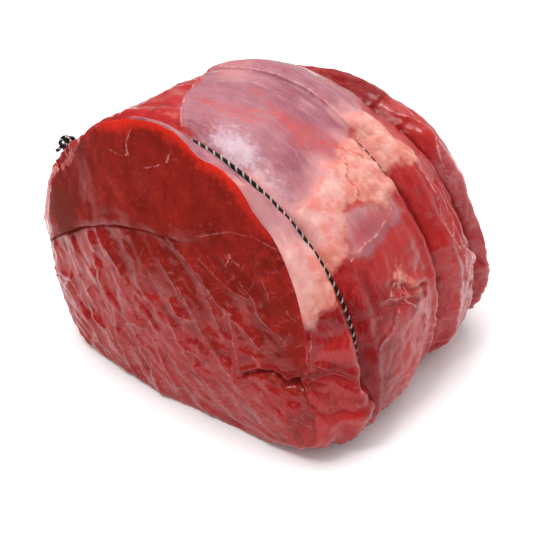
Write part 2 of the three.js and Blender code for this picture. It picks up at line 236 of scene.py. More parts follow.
# The fold at the toe of the face, in two lines of (X, Z) that meet in a notch.
FOLD = [
    [(40, 37), (47, 41), (52, 42), (55, 40), (58, 38), (62, 40)],
    [(62, 40), (65, 38), (69, 34), (71, 31), (72, 22), (73, 12)],
]
NOTCH = (61.5, 40.0)
# The flap behind the fold: the angles on the wall where it hangs back over the first loop of twine.
FLAP = (-26.0, -20.0, -15.0, -9.0)

# The loops of twine, and how the meat closes in on each, as (angle, height, slope): how high the bottom of
# the crease lies above the middle of the twine, in mm, and how steeply the meat rises beside it. Where the
# bottom is low the twine shows, and where it is high the twine is buried.
TIES = ("tie_1", "tie_2", "tie_3")
GRIP = {
    "tie_1": [
        (-90, 0.9, 1.0), (-12, 0.9, 1.0), (-6, 0.5, 0.9), (-1, -0.3, 0.8), (28, -0.5, 0.8), (38, -1.0, 0.6),
        (72, -1.0, 0.6), (80, -0.4, 0.8), (88, -0.3, 0.8), (93, 1.4, 0.8),
        (100, 2.4, 0.6), (125, 2.0, 0.7), (131, -1.2, 0.8), (170, -1.2, 0.8), (180, 1.5, 0.8),
        (270, 0.9, 1.0),
    ],
    "tie_2": [
        (-90, 0.8, 1.0), (31, 0.8, 1.0), (37, 0.5, 0.8), (53, 0.5, 0.7), (58, 2.4, 0.5), (66, 3.2, 0.5),
        (112, 3.2, 0.5), (126, 0.8, 0.8), (131, -1.2, 0.8), (170, -1.2, 0.8), (180, 0.8, 0.9),
        (270, 0.8, 1.0),
    ],
    "tie_3": [
        (-90, 0.8, 1.0), (50, 0.8, 1.0), (57, 0.2, 0.9), (64, 0.8, 0.9), (75, 1.8, 0.7), (112, 2.2, 0.6),
        (126, 0.8, 0.8), (131, -1.2, 0.8), (170, -1.2, 0.8), (180, 0.8, 0.9), (270, 0.8, 1.0),
    ],
}
OPEN_BELOW, BURIED_ABOVE = 0.6, 0.75  # heights of the crease between which the meat closes over the twine
SINK = 1.5  # how much deeper a buried tie lies, in mm
# Where the edge of a lobe hangs over the crease behind it, as the angles at which that starts and ends.
# A pale line is painted along each edge, partly membrane and partly highlight.
LIPS = {"tie_1": (-24, 8), "tie_2": (-34, 32), "tie_3": (-14, 50)}
LIP_PLACE = -4.4  # how far before the tie's plane the edge runs, in mm
KNOT_ANGLE, KNOT_SPREAD = 150.0, 13.0  # where the knots sit, and how far each reaches to both sides
KNOT_LIFT = 2.2  # how far a knot pulls its loop off the meat, in mm
# The dent beside the first knot, where its loop has pulled the rim in: angle, Y, depth, and reach both ways.
KNOT_DENT = (152.0, -55.0, 3.2, 11.0, 9.0)
KNOT_SIZE = 1.4  # how large the turns of a knot are, in mm
TWINE_STEP = 0.45  # how far apart the points along a loop are, in mm

# How high and deep the features of the cut face are, in mm, and how far its lip and its flap hang over.
LIP_HEIGHT, CUT_DEPTH, FOLD_DEPTH, BROW_HEIGHT, NOTCH_DEPTH = 1.4, 1.7, 2.6, 1.5, 2.8
LIP_HANG, FLAP_BACK, FLAP_OUT = 1.5, 4.2, 1.6
# A square of the CAD meat is part of the cut face if its normal leans further than this towards -Y.
FACE_TILT = 0.6
RIM_BEFORE, FINE_BEFORE = -48.0, -50.0  # the rim and the finest squares lie before these Ys, in mm
# The finest squares lie between this height and this far past the crease, in mm.
FINE_FROM, FINE_PAST = 11, 1.5


def smooth(value, low, high):
    """0 below low, 1 above high, and an even curve between them."""
    share = np.clip((value - low) / (high - low), 0, 1)
    return share * share * (3 - 2 * share)


def bell(value, width):
    """1 at 0, falling evenly to both sides over about width."""
    return np.exp(-((value / width) ** 2))


def wander(places, size, seed):
    """Smooth random heights between about -1 and 1 at places, with bumps about size across."""
    rng = np.random.default_rng(seed)
    table = rng.permutation(256)
    slopes = rng.normal(size=(256, 3))
    slopes /= np.linalg.norm(slopes, axis=1, keepdims=True)
    cells = np.floor(places / size).astype(int)
    part = places / size - cells
    fade = part**3 * (part * (part * 6 - 15) + 10)
    height = np.zeros(len(places))
    for corner in itertools.product((0, 1), repeat=3):
        cell = (cells + corner) & 255
        pick = table[(table[(table[cell[:, 0]] + cell[:, 1]) & 255] + cell[:, 2]) & 255]
        weight = np.prod(np.where(corner, fade, 1 - fade), axis=1)
        height += weight * np.sum(slopes[pick] * (part - corner), axis=1)
    return height * 1.7


def outlined(places, outlines):
    """How far inside the nearest outline each place is, in millimetres, and below 0 outside them all."""
    depth = np.full(len(places), -99.0)
    for outline in outlines:
        marks = np.array(outline, float)
        nearest = np.full(len(places), 99.0)
        inside = np.zeros(len(places), bool)
        for start, end in zip(marks, np.roll(marks, -1, 0)):
            along = end - start
            share = np.clip((places - start) @ along / (along @ along), 0, 1)
            nearest = np.minimum(nearest, np.linalg.norm(places - start - share[:, None] * along, axis=1))
            crosses = (places[:, 1] < start[1]) != (places[:, 1] < end[1])
            reached = start[0] + (places[:, 1] - start[1]) * along[0] / (along[1] or 1)
            inside ^= crosses & (places[:, 0] < reached)
        depth = np.maximum(depth, np.where(inside, nearest, -nearest))
    return depth


def threaded(places, lines, reach=3.0):
    """Signed distance to the nearest line, and how much of a line is there, from 0 to 1."""
    sideways = np.full(len(places), 99.0)
    nearest = np.full(len(places), 99.0)
    present = np.zeros(len(places))
    for line in lines:
        marks = np.array(line, float)
        for start, end in zip(marks, marks[1:]):
            along = end - start
            length = np.linalg.norm(along)
            share = (places - start) @ along / length**2
            past = np.maximum(0, np.maximum(-share, share - 1)) * length
            across = (along[0] * (places[:, 1] - start[1]) - along[1] * (places[:, 0] - start[0])) / length
            away = np.hypot(across, past)
            closer = away < nearest
            sideways[closer] = across[closer]
            nearest[closer] = away[closer]
            ends = np.clip(1.6 - past[closer] / 1.2, 0, 1)
            present[closer] = ends * np.clip(reach - away[closer], 0, 1)
    return sideways, present


def spread(places, marks):
    """A value between those of marks, each of which is a place and a value, by how near each mark is."""
    weights = [1 / (np.linalg.norm(places - mark[:2], axis=1) + 2) ** 3 for mark in marks]
    return np.average([np.full(len(places), mark[2]) for mark in marks], axis=0, weights=weights)


def on_wall(marks):
    """Strokes or lines of the wall with their angles as lengths along it."""
    return [[(mark[0] * DEGREE, *mark[1:]) for mark in line] for line in marks]


def linear(code):
    """A colour given as sRGB hex, in linear light."""
    parts = [int(code[i : i + 2], 16) / 255 for i in (1, 3, 5)]
    return tuple(c / 12.92 if c <= 0.04045 else ((c + 0.055) / 1.055) ** 2.4 for c in parts)


# ---------------------------------------------------------------- meshes


def show(name, mesh):
    """A mesh as a piece of the joint, at the origin."""
    mesh.name = name
    piece = bpy.data.objects.new(name, mesh)
    bpy.context.scene.collection.objects.link(piece)
    mesh.shade_smooth()
    return piece


def finished(piece):
    """The mesh of a piece with its modifiers applied."""
    graph = bpy.context.evaluated_depsgraph_get()
    return bpy.data.meshes.new_from_object(piece.evaluated_get(graph), depsgraph=graph)


def places_of(mesh):
    """The points of a mesh, in millimetres."""
    co = np.zeros(len(mesh.vertices) * 3)
    mesh.vertices.foreach_get("co", co)
    return co.reshape(-1, 3) / MM


def normals_of(mesh):
    """The direction that each point of a mesh faces."""
    mesh.update()
    direction = np.zeros(len(mesh.vertices) * 3)
    mesh.vertices.foreach_get("normal", direction)
    return direction.reshape(-1, 3)


def move_to(mesh, co):
    """Moves the points of a mesh to places in millimetres."""
    mesh.vertices.foreach_set("co", (co * MM).ravel())
    mesh.update()


def store(mesh, name, values):
    """Keeps a number for each point, which the material reads by name."""
    attribute = mesh.attributes.new(name, "FLOAT", "POINT")
    attribute.data.foreach_set("value", values.astype(np.float32))


def round_axis(co):
    """The angle of each place round the axis of the roll, in degrees, and how far from it the place is."""
    x, z = co[:, 0] - AXIS_X, co[:, 2] - AXIS_Z
    return np.degrees(np.arctan2(z, x)), np.hypot(z, x)


def tie_plane(name):
    """The plane that a loop of twine lies in: Y = a + b X + c Z, in millimetres."""
    co = places_of(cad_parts[name].data)
    sides = np.column_stack([np.ones(len(co)), co[:, 0], co[:, 2]])
    return np.linalg.lstsq(sides, co[:, 1], rcond=None)[0]


def past_tie(name, co):
    """How far behind the plane of a tie each place lies, along Y."""
    a, b, c = tie_plane(name)
    return co[:, 1] - (a + b * co[:, 0] + c * co[:, 2])


def tie_radius(name):
    """How far from the roll's axis a tie runs, at angles round the roll, and straight on under its knot."""
    angle, radius = round_axis(places_of(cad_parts[name].data))
    clear = np.abs(angle - KNOT_ANGLE) > KNOT_SPREAD
    steps = np.arange(KNOT_ANGLE - 360 + KNOT_SPREAD, KNOT_ANGLE - KNOT_SPREAD, 2.5)
    apart = (angle[clear] - steps[:, None] + 180) % 360 - 180
    weights = bell(apart, 3)
    return steps, weights @ radius[clear] / weights.sum(axis=1)


def grip_at(name, angle):
    """At each angle, how high the crease over a tie lies, how steep it is and how much it buries the tie."""
    turns, height, slope = np.array(GRIP[name]).T
    bottom = np.interp(angle, turns, height)
    return bottom, np.interp(angle, turns, slope), smooth(bottom, OPEN_BELOW, BURIED_ABOVE)


# ---------------------------------------------------------------- the meat


class Rim:
    """The rim of the cut face, read from the CAD meat: its radius and Y at each angle round its middle."""

    def __init__(self, bm):
        ring = [
            vert.co / MM
            for vert in bm.verts
            if vert.co.y < RIM_BEFORE * MM
            and len({face.normal.y < -FACE_TILT for face in vert.link_faces}) == 2
        ]
        self.x = (min(co.x for co in ring) + max(co.x for co in ring)) / 2
        self.z = (min(co.z for co in ring) + max(co.z for co in ring)) / 2
        rows = sorted(
            (math.atan2(co.z - self.z, co.x - self.x), math.hypot(co.x - self.x, co.z - self.z), co.y)
            for co in ring
        )
        self.angles, self.radii, self.ys = np.array(rows).T

    def depth(self, co):
        """How far inside the rim each place of the cut face is, and below 0 how far behind it on the wall."""
        angles = np.arctan2(co[:, 2] - self.z, co[:, 0] - self.x)
        inside = np.interp(angles, self.angles, self.radii, period=2 * math.pi)
        inside -= np.hypot(co[:, 2] - self.z, co[:, 0] - self.x)
        behind = co[:, 1] - np.interp(angles, self.angles, self.ys, period=2 * math.pi)
        depth = np.where(inside > behind, np.maximum(inside - np.maximum(behind, 0), 0), -behind)
        return depth, np.degrees(angles)


def crease_height(x):
    """How high the crease runs at each X."""
    x = x - CREASE_X
    return CREASE_Z - CREASE_SAG * np.minimum(0, x) ** 2 + CREASE_RISE * np.maximum(0, x)


def fine_squares():
    """The CAD meat as squares, rounded and made finer, and finest on the cut face below its crease."""
    bm = bmesh.new()
    bm.from_mesh(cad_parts["meat"].data)
    bmesh.ops.remove_doubles(bm, verts=bm.verts, dist=1e-6)
    bmesh.ops.join_triangles(bm, faces=bm.faces, angle_face_threshold=math.pi, angle_shape_threshold=math.pi)
    bm.normal_update()
    rim = Rim(bm)
    coarse = bpy.data.meshes.new("coarse")
    bm.to_mesh(coarse)
    bm.free()
    piece = show("coarse", coarse)
    rounding = piece.modifiers.new("rounding", "SUBSURF")
    rounding.levels = rounding.render_levels = 2
    mesh = finished(piece)
    bpy.data.objects.remove(piece)
    bm = bmesh.new()
    bm.from_mesh(mesh)
    chosen = set()
    for face in bm.faces:
        middle = face.calc_center_median() / MM
        below_crease = FINE_FROM < middle.z < crease_height(middle.x) + FINE_PAST
        if face.normal.y < -FACE_TILT and middle.y < FINE_BEFORE and below_crease:
            chosen.update(face.edges)
    bmesh.ops.subdivide_edges(bm, edges=list(chosen), cuts=1, use_grid_fill=True)
    bm.to_mesh(mesh)
    bm.free()
    return mesh, rim


def close_over_twine(co, angle):
    """Fills each groove up to a crease, so that the meat grips its twine or covers it.

    Gives the new places, how far the wall has to stay smooth so that the twine shows, how deep in a crease
    each place is, how far it is from the hanging edge of a lobe, and how much of that edge is there."""
    at, y, depth, width, length = KNOT_DENT
    dent = depth * bell(angle - at, width) * bell(co[:, 1] - y, length)
    out = co[:, [0, 2]] - (AXIS_X, AXIS_Z)
    radius = np.linalg.norm(out, axis=1)
    co[:, [0, 2]] -= out / radius[:, None] * (dent * smooth(radius, 30, 60))[:, None]
    radius = np.linalg.norm(co[:, [0, 2]] - (AXIS_X, AXIS_Z), axis=1)
    bare, hollow = np.zeros(len(co)), np.zeros(len(co))
    from_lip, lipped = np.full(len(co), 99.0), np.zeros(len(co))
    for name in TIES:
        bottom, slope, buried = grip_at(name, angle)
        off = past_tie(name, co) + 0.8 * buried * wander(co, 11, 41)
        crease = np.interp(angle, *tie_radius(name), period=360) + bottom
        lift = np.maximum(0, crease + slope * np.abs(off) - radius) * (1 - smooth(np.abs(off), 5, 11))
        co[:, [0, 2]] += out / radius[:, None] * lift[:, None]
        bare = np.maximum(bare, (1 - buried) * bell(off, 2.4))
        # Painted shade: how deep in the crease each place lies, so that the lean is painted darker there.
        crease_shade = 0.55 * bell(np.maximum(off, -off - 1.5), 2.6) + 0.45 * bell(off, 1.1)
        crease_shade *= smooth(slope, 0.6, 0.95)
        hollow = np.maximum(hollow, crease_shade)
        first, last = LIPS[name]
        there = smooth(angle, first, first + 8) * (1 - smooth(angle, last - 8, last))
        near = np.abs(off - LIP_PLACE) < np.abs(from_lip)
        from_lip[near] = (off - LIP_PLACE)[near]
        lipped = np.maximum(lipped, there * (np.abs(off - LIP_PLACE) < 3))
    return co, bare, hollow, from_lip, lipped


def ridges(value, width):
    """Thin ridges where a wandering value passes 0, and flat ground between them."""
    return np.maximum(0, 1 - np.abs(value) / width) ** 1.5


def facets(places, fall, softness, seed):
    """Facets like overlapping scales: each falls back along fall, and the next one steps out again.

    Gives the height, and how near each place is to the step between two facets, from 0 to 1."""
    chances = np.random.default_rng(seed).random((64, 64, 4))
    cell = np.floor(places).astype(int)
    away, height = [], []
    for corner in itertools.product((-1, 0, 1), repeat=2):
        at = cell + corner
        chance = chances[at[:, 0] & 63, at[:, 1] & 63]
        step = places - at - 0.1 - 0.8 * chance[:, :2]
        away.append(np.linalg.norm(step, axis=1))
        height.append(0.5 * (chance[:, 2] - 0.5) + (0.5 + chance[:, 3]) * (step @ fall))
    away = np.array(away)
    weights = np.exp(-softness * (away - away.min(axis=0)))
    nearest = np.sort(away, axis=0)[:2]
    return np.average(height, axis=0, weights=weights), 1 - smooth(nearest[1] - nearest[0], 0, 0.3)


def along_pleats(co):
    """Places on the face, turned so that the second runs along its pleats, which are steeper at the left."""
    x, z = co[:, 0], co[:, 2]
    flat = np.column_stack([x, np.zeros(len(x)), z])
    slope = np.radians(np.interp(x, [-60, 40], [56, 40]))
    across = x * np.sin(slope) + z * np.cos(slope) + 2.5 * wander(flat, 16, 2) + 1.0 * wander(flat, 6, 3)
    return flat, np.column_stack([across, (x * np.cos(slope) - z * np.sin(slope)) / 2.6, np.zeros(len(x))])


def face_relief(co, inside, crests):
    """The relief of the cut face in mm, how far its lip hangs down, its steps and its hollows."""
    x, z = co[:, 0], co[:, 2]
    flat, pleated = along_pleats(co)
    above = z - crease_height(x) + 0.8 * wander(flat, 9, 1)
    there = 1 - smooth(x, CREASE_END - 30, CREASE_END)
    lip = bell(above - 2.6, 1.9) * there
    cut = bell(above + 0.2, 0.8) * there

    from_crest, crested = crests
    flank = np.where(from_crest > 0, 3.2, 1.3)
    crest = crested * (bell(from_crest, flank) + 0.3 * np.exp(-np.abs(from_crest) / 0.5))
    below = smooth(-above, 1.0, 6)
    strength = 0.6 + 0.7 * wander(flat, 11, 6)
    large, steps = facets(pleated[:, :2] / (5.5, 3.6), np.array((0.9, -1.1)), 8, 7)
    small, small_steps = facets(pleated[:, :2] / (2.8, 1.9) + 5, np.array((0.4, -0.5)), 7, 8)
    lower = below * (crest + strength * (large + 0.6 * small) + 0.4 * wander(pleated, 6.5, 11))

    sideways, present = threaded(np.column_stack([x, z]), FOLD)
    fold = present * bell(sideways, 0.9)
    brow = present * bell(sideways - 2.8, 1.8)
    notch = bell(np.hypot(x - NOTCH[0], z - NOTCH[1]), 3.0)

    slow = 0.4 * wander(flat, 14, 13) + 0.14 * wander(flat, 5, 14)
    relief = slow + LIP_HEIGHT * lip - CUT_DEPTH * cut + lower
    relief += BROW_HEIGHT * brow - FOLD_DEPTH * fold - NOTCH_DEPTH * notch
    # Painted highlight: the steps between facets, along which a pale line is painted.
    steps = np.maximum(steps, 0.6 * small_steps) * below
    # Painted shade: the fold, the notch and the crease, where the face is painted darker.
    hollow = np.maximum(np.maximum(0.9 * fold, notch), 0.55 * cut * smooth(inside, 0.5, 5))
    return relief * smooth(inside, 0.3, 4), LIP_HANG * lip * smooth(inside, 0.5, 5), steps, hollow


def wall_relief(co, around, fat, skin, threads, cracks):
    """Lumps of fat, strands of silverskin, threads of membrane, cracks and slow bumps, in millimetres."""
    sideways, present = threads
    from_crack, cracked = cracks
    lean = 1 - smooth(np.maximum(fat, skin), -1, 1)
    strands = np.column_stack([around / 7, co[:, 1], np.zeros(len(co))])
    low = 1 - smooth(co[:, 2], 42, 58)
    relief = 0.9 * wander(co, 17, 21) + 0.4 * wander(co, 8, 22)
    relief += smooth(fat, -1.0, 1.0) * (0.9 + 0.5 * smooth(fat, 0.5, 4) + 0.6 * wander(co, 7, 23))
    relief += smooth(fat, -0.5, 1.5) * 0.3 * wander(co, 3.5, 24)
    relief += smooth(skin, -1, 1) * 0.16 * wander(strands, 2.6, 25)
    relief += lean * (0.5 * wander(strands * (1.6, 1, 1), 6, 26) + 0.3 * wander(strands * (2, 1, 1), 3, 27))
    relief += lean * low * 0.55 * ridges(wander(co, 6, 28), 0.22)
    relief += lean * 0.35 * wander(co, 4, 29)
    relief += lean * low * 0.3 * wander(co, 2.6, 30)
    relief += present * (0.5 * bell(sideways, 0.8) - 0.3 * bell(sideways - 2, 1.2))
    relief += cracked * (bell(from_crack - 2.2, 1.6) - 1.8 * bell(from_crack, 0.8))
    return relief


def hang_flap(co, angle):
    """Lets the back edge of the front slab hang over the first loop of twine near the board."""
    off = past_tie("tie_1", co)
    low, full_low, full_high, high = FLAP
    there = smooth(angle, low, full_low) * (1 - smooth(angle, full_high, high))
    edge = there * smooth(off, -9, -3) * (1 - smooth(off, -0.5, 0.8))
    co[:, 1] += FLAP_BACK * edge
    co[:, 0] += FLAP_OUT * edge
    return co


def meat_mesh(settings):
    """The finished meat: its relief in its points, and what it is made of in its attributes."""
    mesh, rim = fine_squares()
    co = places_of(mesh)
    angle = round_axis(co)[0]
    turned = (angle - SEAM_ANGLE) % 360 + SEAM_ANGLE
    co, bare_wall, hollow, from_lip, lipped = close_over_twine(co, turned)
    co = hang_flap(co, angle)
    move_to(mesh, co)
    inside, rim_angle = rim.depth(co)
    around = turned * DEGREE
    wall = np.column_stack([around, co[:, 1]])
    face = co[:, [0, 2]]
    on_face = smooth(inside, -0.4, 0.4)

    # The outlines have straight sides, so the places are stirred a little, and more at the back.
    stir = (1.0 + 4.0 * smooth(np.abs(turned - 48), 78, 98))[:, None]
    stirred = wall + stir * np.column_stack([wander(co, 9, 61), wander(co, 9, 62)])
    fat = outlined(stirred, on_wall(FAT))
    skin = outlined(stirred, on_wall(SKIN))
    wall_threads = threaded(wall, on_wall(WALL_THREADS))
    face_threads = threaded(face, FACE_THREADS)
    crests = threaded(face, CRESTS, 6.0)
    cracks = threaded(wall, on_wall(CRACKS), 5.0)
    veins = threaded(wall, on_wall(VEINS))

    relief, hang, steps, face_hollow = face_relief(co, inside, crests)
    warm = outlined(wall, on_wall(WARM))
    lobules = facets(wall / (5.5, 4.2), np.zeros(2), 8, 9)[1] * smooth(fat, 0.0, 1.5) * smooth(warm, -1, 2)
    on_wall_relief = wall_relief(co, around, fat, skin, wall_threads, cracks) - 0.8 * lobules
    on_wall_relief *= 1 - bare_wall
    on_wall_relief += 0.6 * lipped * bell(from_lip - 0.8, 0.8)
    relief = relief * settings.pleats + (1 - on_face) * on_wall_relief
    pleated = along_pleats(co)[1]
    face_film = spread(face, np.array(FACE_FILM)) + 0.3 * wander(pleated, 6.5, 31)
    above = co[:, 2] - crease_height(co[:, 0])
    face_film = np.where(above > 0, np.minimum(face_film, -0.7 + 0.6 * np.exp(-above / 3)), face_film)
    wall_film = spread(wall, np.array(on_wall([WALL_FILM])[0])) + 0.3 * wander(co, 9, 33)
    waved = co[:, 1] + 2.6 * wander(co, 17, 51) + 0.9 * wander(co, 6, 52)
    # Towards the middle of the rounded end the fibres no longer run round, so they are told apart by length.
    near_axis = round_axis(co)[1] / WALL_RADIUS
    squeezed = around * near_axis / (2 + 5 * smooth(near_axis, 0.4, 0.8))
    round_roll = np.column_stack([squeezed, waved, near_axis * 30])
    along = np.where(on_face[:, None] > 0.5, pleated, round_roll)
    co = co + normals_of(mesh) * relief[:, None]
    co[:, 2] -= hang
    co[:, 2] = np.maximum(co[:, 2], 0)
    move_to(mesh, co)

    kept = {
        "inside": inside,
        "fringe": np.interp(rim_angle, *np.array(FRINGE).T, left=0, right=0) - np.maximum(inside, 0),
        "fat": fat,
        "skin": skin,
        "warm": warm,
        "cool": outlined(wall, on_wall(COOL)),
        "blush": outlined(wall, on_wall(BLUSH)),
        "silver_highlight": outlined(wall, on_wall(SILVER_HIGHLIGHT)),
        "bare": outlined(wall, on_wall(BARE)),
        "brown": outlined(face, BROWN),
        "film": np.where(on_face > 0.5, face_film, wall_film),
        "steps": steps * on_face,
        "hollow": np.where(on_face > 0.5, face_hollow, hollow),
        "lip": from_lip,
        "lobule": lobules,
        "lipped": lipped * (1 - on_face),
        "thread": np.where(on_face > 0.5, face_threads[0], wall_threads[0]),
        "threaded": np.where(on_face > 0.5, 0.75 * face_threads[1], wall_threads[1]),
        "crest": crests[0],
        "crested": crests[1] * on_face,
        "vein": veins[0],
        "veined": veins[1] * (1 - on_face),
        "crack": cracks[1] * bell(cracks[0], 0.8) * (1 - on_face),
    }
    for name, values in kept.items():
        store(mesh, name, values)
    attribute = mesh.attributes.new("along", "FLOAT_VECTOR", "POINT")
    attribute.data.foreach_set("vector", (along * MM).astype(np.float32).ravel())
    return mesh


# ---------------------------------------------------------------- materials


def fill(tree, made, inputs):
    """Sets inputs of a node, or links them."""
    for name, value in dict(inputs).items():
        if isinstance(value, bpy.types.NodeSocket):
            tree.links.new(value, made.inputs[name])
        else:
            made.inputs[name].default_value = value


def node(tree, kind, inputs=(), **settings):
    """Adds a node to a material with its settings, and sets or links its inputs."""
    made = tree.nodes.new(kind)
    for name, value in settings.items():
        setattr(made, name, value)
    fill(tree, made, inputs)
    return made


def per_metre(size_mm):
    """The scale of a texture whose pattern is size_mm across."""
    return 1 / (size_mm * MM)


def new_material(name):
    """An empty material, with its nodes and its shader."""
    material = bpy.data.materials.new(name)
    material.use_nodes = True
    return material, material.node_tree, material.node_tree.nodes["Principled BSDF"]


# The patterns in the meat: which places each is drawn on, its size in mm, its detail and its roughness. Real
# muscle fibres are under 0.1 mm thick, too fine to show, so they are drawn as bundles of 0.9 mm.
PATTERNS = {
    "cloud": ("even", 17, 2.0, 0.5),
    "patch": ("even", 7, 3.0, 0.55),
    "grain": ("even", 2.6, 5.0, 0.65),
    "edge": ("even", 4.5, 5.0, 0.65),
    "pits": ("even", 1.2, 3.0, 0.6),
    "fibres": ("along", 0.9, 4.0, 0.6),
    "bands": ("along", 5.5, 5.0, 0.65),
    "wrinkles": ("along", 3.4, 1.5, 0.5),
}
# The numbers that the mesh of the meat keeps for each point.
KEPT = (
    "inside", "fringe", "fat", "skin", "warm", "cool", "blush", "silver_highlight", "bare", "brown", "film", "thread",
    "threaded", "crest", "crested", "vein", "veined", "crack", "steps", "hollow", "lip", "lipped", "lobule",
)
# Thin, broken lines: the distance and the presence that each is drawn from, and its width in mm.
LINES = {
    "lip_membrane_and_highlight": ("lip", "lipped", 0.4),
    "crest_highlight_line": ("crest", "crested", 0.6),
    "thread_line": ("thread", "threaded", 0.55),
    "vein_line": ("vein", "veined", 1.1),
}
# Values worked out one after another, each from those before it: a name, what is done, and with what. A range
# is read between two ends and gives a value between two others, from 0 to 1 if they aren't given.
RANGE_INPUTS = ("Value", "From Min", "From Max", "To Min", "To Max")
WORKED = [
    ("wisps", "SUBTRACT", "wrinkles", 0.5),
    ("wisps", "ABSOLUTE", "wisps"),
    # The fat and the silverskin are bright beside the rim.
    ("strip", "MAXIMUM", "fat", "skin"),
    ("bright", "RANGE", "strip", 0.5, 2.0, 0.0, 0.6),
    ("near_rim", "RANGE", "inside", -0.8, -0.2),
    ("bright", "MULTIPLY", "bright", "near_rim"),
    ("bright", "MULTIPLY", "bright", "edge"),
    # Painted highlights on the fine wrinkles and the steps of the cut face, and the height over which the
    # painted glow of its rim grows brighter towards the top.
    ("thin_film", "RANGE", "sharp", -0.5, 0.1),
    ("wrinkle_highlight", "RANGE", "wisps", 0.014, 0.0),
    ("wrinkle_highlight", "MULTIPLY", "wrinkle_highlight", "thin_film"),
    ("step", "MULTIPLY", "steps", "grain"),
    ("height", "RANGE", "z", 0.098, 0.121),
    # Painted shade: the lean is painted darker in its creases and folds, but not on fat.
    ("off_fat", "RANGE", "fat", 2.0, -2.0),
    ("crease_shade", "MULTIPLY", "crease_shade", "off_fat"),
    # Heights in mm: a little grain and pits all over, and fibres on the wall.
    ("off_face", "RANGE", "inside", 0.5, -0.5),
    ("fibre", "MULTIPLY", "fibres", "off_face"),
    ("rough", "RANGE", "strip", -1.0, 1.0, 0.3, 1.0),
    ("relief", "MULTIPLY", "grain", 0.14),
    ("relief", "MULTIPLY_ADD", "pits", 0.08, "relief"),
    ("relief", "MULTIPLY_ADD", "fibre", 0.12, "relief"),
    ("relief", "MULTIPLY", "relief", "rough"),
    ("relief", "MULTIPLY_ADD", "fibre", 0.14, "relief"),
    ("relief", "MULTIPLY_ADD", "patch", 0.35, "relief"),
    # The film of juice is thinner on the face and on fat, and thins out in patches.
    ("wet", "RANGE", "patch", 0.35, 0.6, 0.8, 1.0),
    ("on_fat", "RANGE", "fat", -1.0, 1.0, 0.0, -0.4),
    ("on_face", "RANGE", "inside", -0.5, 0.5),
    ("dry", "RANGE", "sharp", -0.8, 0.2, -0.45, 0.05),
    ("browned", "RANGE", "brown", -6.0, 3.0, 0.0, -0.7),
    ("dry", "ADD", "dry", "browned"),
    ("dry", "MULTIPLY", "on_face", "dry"),
    ("thin", "RANGE", "film", -1.0, 0.0, -0.7, 1.0),
    ("thin", "MINIMUM", "thin", 0.0),
    ("wet", "ADD", "wet", "on_fat"),
    ("wet", "ADD", "wet", "thin"),
]
